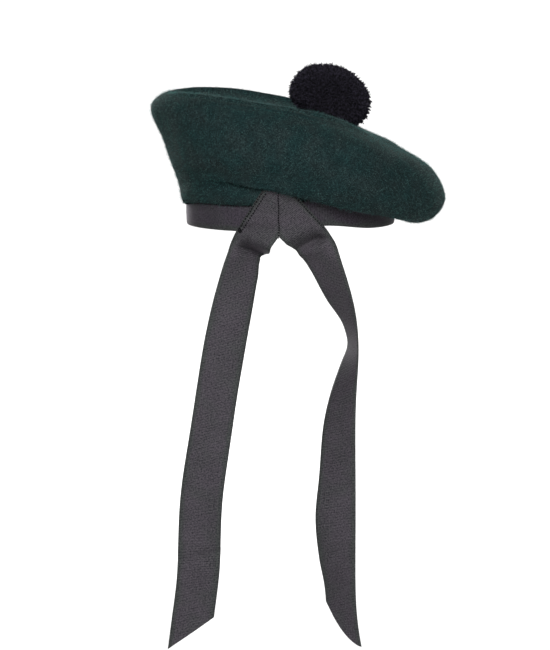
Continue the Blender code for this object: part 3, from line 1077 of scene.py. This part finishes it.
def soft_light(lamp):
    """A square lamp that faces what it is aimed at."""
    light = bpy.data.lights.new(lamp.name, "AREA")
    light.shape = "SQUARE"
    light.size = lamp.size
    light.energy = lamp.power
    holder = bpy.data.objects.new(lamp.name, light)
    holder.location = lamp.place
    facing = Vector(lamp.aim) - Vector(lamp.place)
    holder.rotation_euler = facing.to_track_quat("-Z", "Y").to_euler()
    bpy.context.scene.collection.objects.link(holder)


def pale_paper():
    """Matt paper that is seen through from its back, so that it hides the bonnet in no view."""
    finish, tree, shader = start_finish("pale_paper")
    plug(tree, shader, [("Base Color", linear("#c4c4c4")), ("Roughness", 0.9)])
    side = add(tree, "ShaderNodeNewGeometry")
    clear = add(tree, "ShaderNodeBsdfTransparent")
    one_way = add(tree, "ShaderNodeMixShader",
                  [("Fac", side.outputs["Backfacing"]), (1, shader.outputs[0]),
                   (2, clear.outputs[0])])
    plug(tree, tree.nodes["Material Output"], [("Surface", one_way.outputs[0])])
    return finish


def make_sweep():
    """One sheet of pale paper: a floor under the bonnet that curves up into a wall behind it."""
    floor = cad_low.z - FLOOR_DROP
    outline = [(FLOOR_BEGINS, floor), (CURVE_BEGINS, floor)]
    for step in range(1, 13):
        angle = math.radians(90 * step / 12)
        back = CURVE_BEGINS + CURVE_RADIUS * math.sin(angle)
        outline.append((back, floor + CURVE_RADIUS * (1 - math.cos(angle))))
    outline.append((CURVE_BEGINS + CURVE_RADIUS, WALL_TOP))
    points = [(x, y, z) for y, z in outline for x in (-HALF_SWEEP, HALF_SWEEP)]
    faces = [(at, at + 1, at + 3, at + 2) for at in range(0, len(points) - 2, 2)]
    data = bpy.data.meshes.new("sweep")
    data.from_pydata(points, [], faces)
    data.shade_smooth()
    data.materials.append(pale_paper())
    sweep = bpy.data.objects.new("sweep", data)
    bpy.context.scene.collection.objects.link(sweep)


def make_studio():
    """A pale sweep under and behind the bonnet, soft daylight all round, and large soft lamps."""
    scene = bpy.context.scene
    scene.view_settings.view_transform = "Standard"
    world = bpy.data.worlds.new("soft_daylight")
    world.use_nodes = True
    plug(world.node_tree, world.node_tree.nodes["Background"],
         [("Color", (1, 1, 1, 1)), ("Strength", 0.14)])
    scene.world = world
    make_sweep()
    for lamp in LAMPS:
        soft_light(lamp)


def make_camera():
    """The photograph's own view, from behind, a little from the wearer's right and from above."""
    turn, rise = math.radians(CAMERA_TURN), math.radians(CAMERA_RISE)
    level = math.cos(rise)
    out = Vector((math.sin(turn) * level, -math.cos(turn) * level, math.sin(rise)))
    right = Vector((math.cos(turn), math.sin(turn), 0))
    aim = right * (PICTURE_WIDE / 2 - MIDDLE_ACROSS) * PIXEL
    aim.z += (MIDDLE_DOWN - PICTURE_HIGH / 2) * PIXEL
    place = out * CAMERA_AWAY
    camera = bpy.data.objects.new("camera", bpy.data.cameras.new("camera"))
    camera.location = place
    camera.rotation_euler = (aim - place).to_track_quat("-Z", "Y").to_euler()
    camera.data.sensor_fit = "HORIZONTAL"
    camera.data.sensor_width = SENSOR
    camera.data.lens = SENSOR * (aim - place).length / (PICTURE_WIDE * PIXEL)
    bpy.context.scene.collection.objects.link(camera)
    bpy.context.scene.camera = camera


make_camera()
make_studio()
felt = felted_wool()
tail_weave = grosgrain("tail_grosgrain", RIBBON_WIDE, "#1f1d22", "#59545b", "#4e5250", 0.07)
# The headband's copy of the ribbon is a little darker than the tails', painted shade from the felt
# that overhangs it.
band_weave = grosgrain("band_grosgrain", BAND_HEIGHT, "#1a181c", "#4e4852", "#4a4e4c", 0.12)
thread = sewing_thread()
felt_skin = make_crown(felt)
for nap in NAPS:
    make_nap(nap, felt_skin)
make_band(band_weave)
left_tail = Tail(-1, LEFT_BENDS, LEFT_LENGTH, LEFT_CUT, LEFT_BOW, LEFT_BUCKLES)
right_tail = Tail(1, RIGHT_BENDS, RIGHT_LENGTH, RIGHT_CUT, RIGHT_BOW, RIGHT_BUCKLES)
make_tail("left_ribbon", "left_tail", left_tail, tail_weave)
make_tail("right_ribbon", "right_tail", right_tail, tail_weave)
make_stitching(left_tail, right_tail, thread)
make_hem_stitches(thread)
yarn = cut_yarn("cut_wool_yarn", "#0b0a0f", "#363340")
# The core wears a darker copy of the yarn, painted shade for the depth between the yarn ends.
make_toorie(yarn, cut_yarn("shaded_yarn_core", "#060608", "#0e0e12"))
